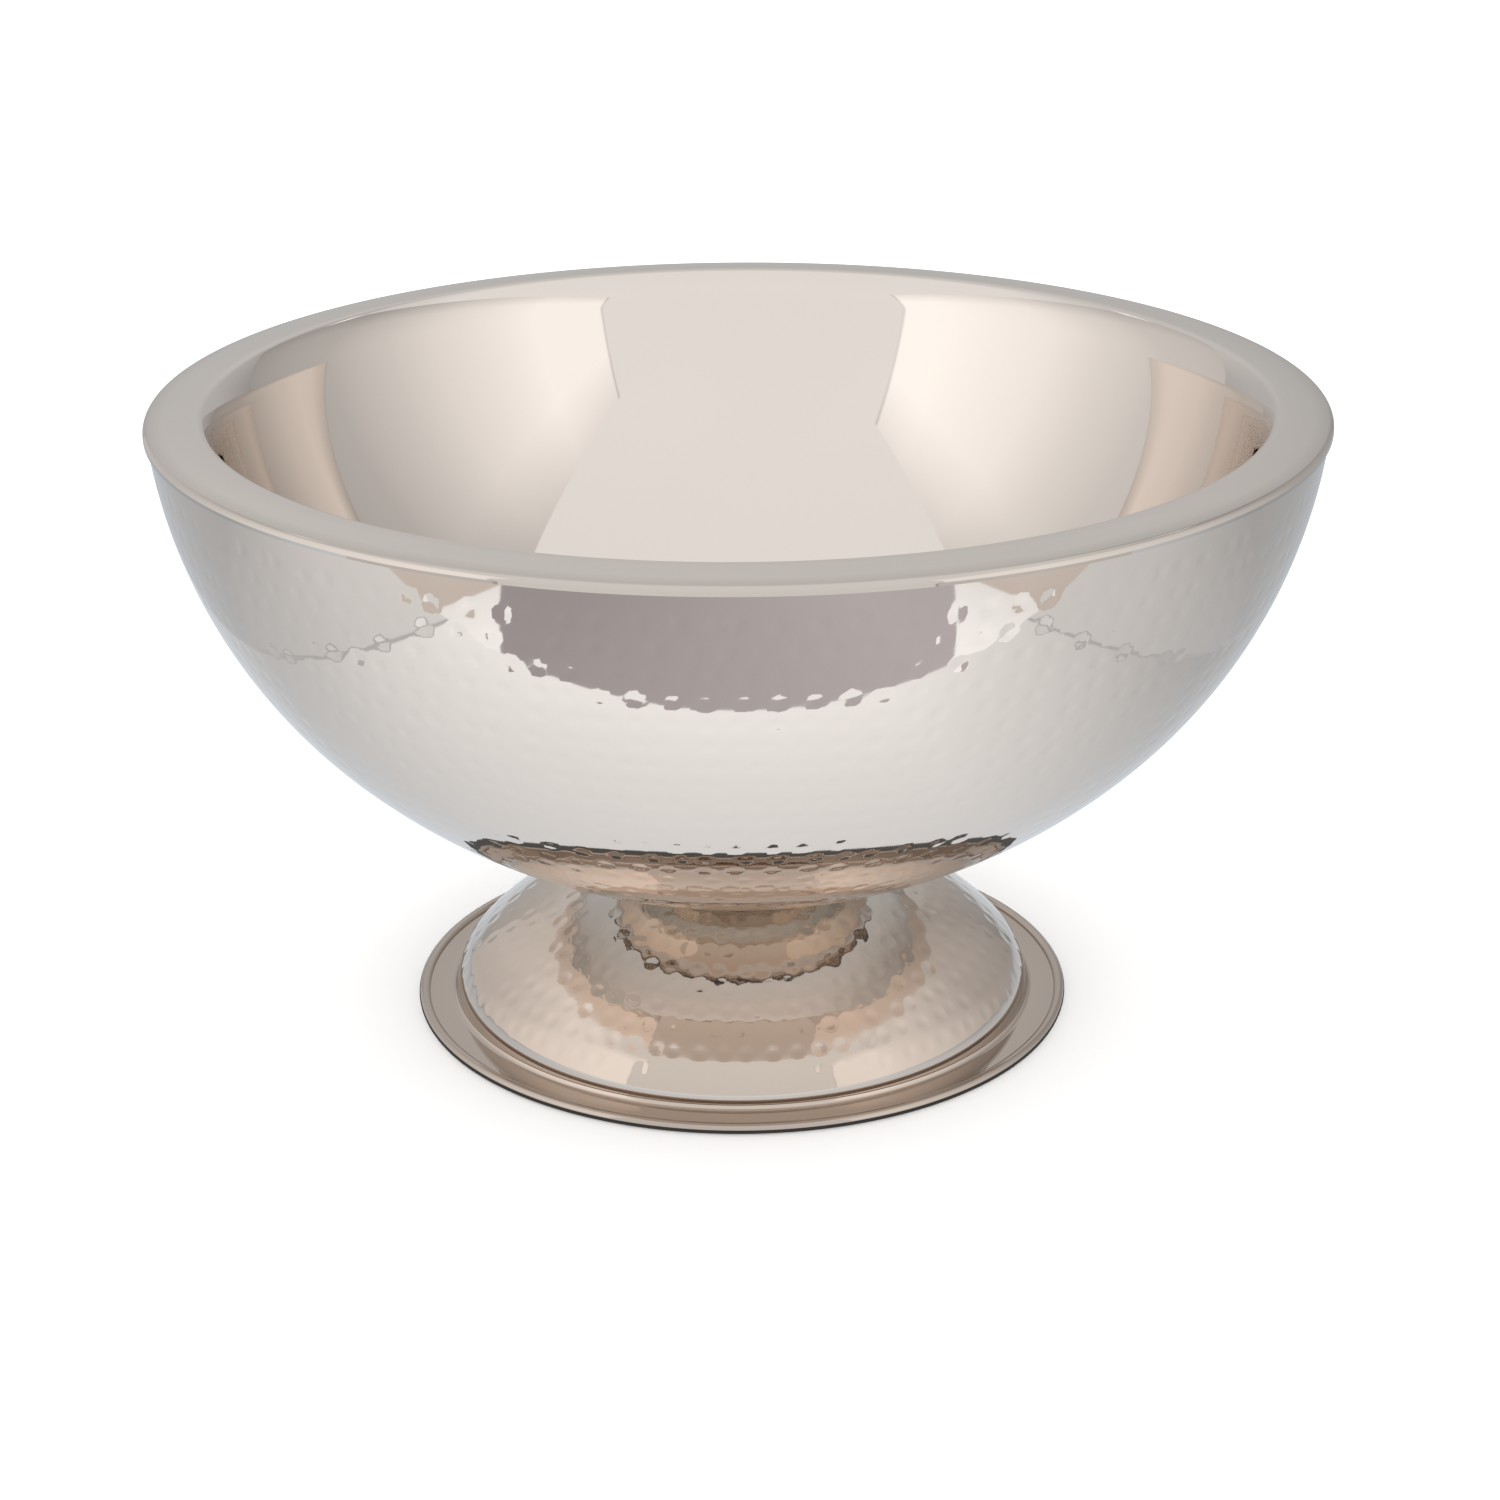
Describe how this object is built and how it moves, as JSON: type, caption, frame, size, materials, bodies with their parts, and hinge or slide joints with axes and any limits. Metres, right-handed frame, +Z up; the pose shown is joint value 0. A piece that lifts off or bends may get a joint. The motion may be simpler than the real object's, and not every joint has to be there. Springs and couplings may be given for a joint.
{
  "type": "punch bowl",
  "caption": "Double-wall steel punch bowl: smooth inner bowl and crowned rim, hammered outer shell, on a hammered domed foot with a rolled edge.",
  "frame": {"origin": "centre of the foot's base, on the table", "axes": "+Z up along the bowl's axis of revolution; X and Y level, and the bowl looks the same all round"},
  "size_m": [0.38, 0.3798, 0.211],
  "materials": {
    "inner_bowl": "polished",
    "outer_shell": "polished",
    "foot": "polished",
    "stud_plate": "satin",
    "stud": "satin",
    "wide_washer": "satin",
    "spring_washer": "satin",
    "nut": "satin"
  },
  "bodies": {
    "root": {"inner_bowl": "inner_bowl", "outer_shell": "outer_shell", "foot": "foot", "stud_plate": "stud_plate", "stud": "stud", "wide_washer": "wide_washer", "spring_washer": "spring_washer", "nut": "nut"}
  },
  "joints": []
}
